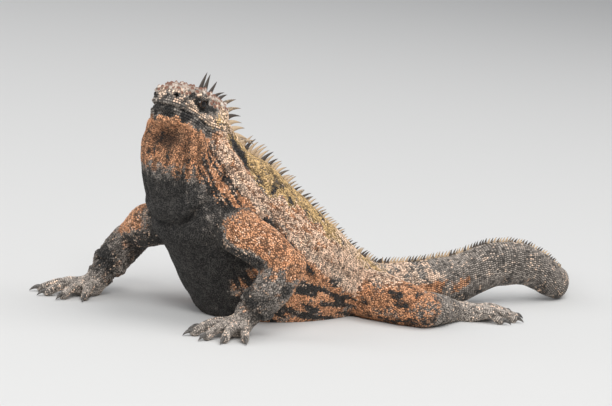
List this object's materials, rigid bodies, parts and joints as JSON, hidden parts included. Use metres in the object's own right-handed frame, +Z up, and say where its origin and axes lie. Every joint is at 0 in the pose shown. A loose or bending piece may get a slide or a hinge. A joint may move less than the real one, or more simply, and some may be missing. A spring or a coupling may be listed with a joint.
{
  "type": "marine iguana",
  "caption": "Life-size still marine iguana propped up on its front legs, belly on the floor, with a spine crest from head to tail and a tail that arches, then lies in a curve.",
  "frame": {"origin": "bottom centre of the model's box, on the floor", "axes": "+X the way the trunk faces, +Y the animal's left side, +Z up"},
  "size_m": [0.5646, 0.2572, 0.1739],
  "materials": {
    "head_skin": "dry, scaly and matt, greyish above and rust below",
    "neck_skin": "dry, finely scaled, rust turning to charcoal",
    "torso_skin": "dry, finely scaled, rust flanks with an olive back and dark blotches",
    "tail_skin": "dry, in rings of keeled scales, dark with pale flecks",
    "upper_arm_skin": "dry, finely scaled, rust",
    "forearm_skin": "dry, finely scaled, charcoal",
    "thigh_skin": "dry, finely scaled, rust with dark mottling",
    "shank_skin": "dry, finely scaled, dark grey",
    "hand_skin": "dry, ring scaled, dark grey",
    "claw_horn": "smooth grey horn",
    "eye_dark": "wet and glossy, dark brown"
  },
  "bodies": {
    "root": {"claw_finger_left_1": "claw_horn", "claw_finger_left_2": "claw_horn", "claw_finger_left_3": "claw_horn", "claw_finger_left_4": "claw_horn", "claw_finger_left_5": "claw_horn", "claw_finger_right_1": "claw_horn", "claw_finger_right_2": "claw_horn", "claw_finger_right_3": "claw_horn", "claw_finger_right_4": "claw_horn", "claw_finger_right_5": "claw_horn", "claw_toe_left_1": "claw_horn", "claw_toe_left_2": "claw_horn", "claw_toe_left_3": "claw_horn", "claw_toe_left_4": "claw_horn", "claw_toe_left_5": "claw_horn", "claw_toe_right_1": "claw_horn", "claw_toe_right_2": "claw_horn", "claw_toe_right_3": "claw_horn", "claw_toe_right_4": "claw_horn", "claw_toe_right_5": "claw_horn", "eye_left": "eye_dark", "eye_right": "eye_dark", "foot_left": "hand_skin", "foot_right": "hand_skin", "forearm_left": "forearm_skin", "forearm_right": "forearm_skin", "hand_left": "hand_skin", "hand_right": "hand_skin", "head": "head_skin", "neck": "neck_skin", "shank_left": "shank_skin", "shank_right": "shank_skin", "tail_1": "tail_skin", "tail_2": "tail_skin", "tail_3": "tail_skin", "tail_4": "tail_skin", "tail_5": "tail_skin", "thigh_left": "thigh_skin", "thigh_right": "thigh_skin", "torso_front": "torso_skin", "torso_rear": "torso_skin", "upper_arm_left": "upper_arm_skin", "upper_arm_right": "upper_arm_skin"}
  },
  "joints": []
}
